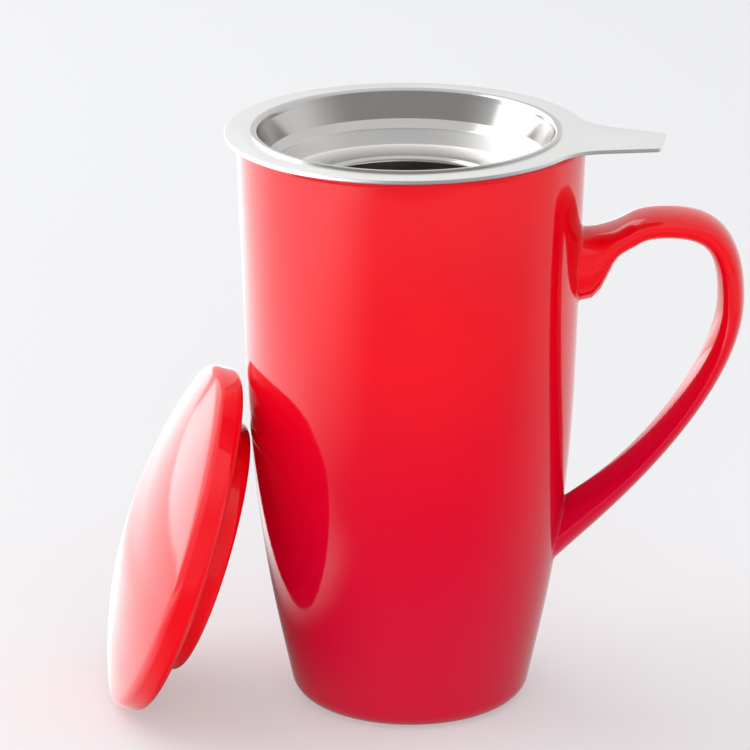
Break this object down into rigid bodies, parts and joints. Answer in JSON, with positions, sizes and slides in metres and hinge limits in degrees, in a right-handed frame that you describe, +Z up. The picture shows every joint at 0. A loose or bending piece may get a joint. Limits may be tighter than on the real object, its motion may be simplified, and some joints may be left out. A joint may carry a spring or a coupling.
{
  "type": "lidded tea mug with infuser",
  "caption": "Tall tapered glazed mug with a loop handle, a lift-out perforated steel infuser with a thumb tab, and a loose domed lid leaning beside it.",
  "frame": {"origin": "centre of the mug's foot, on the surface it stands on", "axes": "+Z up along the mug's axis; +X towards the handle; the lid leans on the -X side; -Y is the picture's front"},
  "size_m": [0.153, 0.0908, 0.1415],
  "materials": {
    "red_glaze_mug": "high-gloss red glaze over white stoneware, bare foot ring",
    "red_glaze_handle": "high-gloss red glaze",
    "red_glaze_lid": "high-gloss red glaze",
    "satin_steel": "fine satin",
    "polished_steel": "bright drawn sheet",
    "perforated_steel": "finely perforated sheet"
  },
  "bodies": {
    "mug": {"mug_body": "red_glaze_mug", "mug_handle": "red_glaze_handle"},
    "infuser": {"infuser_rim_plate": "satin_steel", "infuser_cup": "polished_steel", "infuser_basket_wall": "perforated_steel", "infuser_basket_floor": "perforated_steel"},
    "lid": {"lid": "red_glaze_lid"}
  },
  "joints": [
    {"name": "infuser_lift", "type": "slide", "parent": "mug", "child": "infuser", "axis": [0, 0, 1], "range_m": [0, 0.085]},
    {"name": "lid_carry", "type": "slide", "parent": "mug", "child": "lid", "axis": [-0.6, 0, 0.8], "range_m": [0, 0.06]}
  ]
}
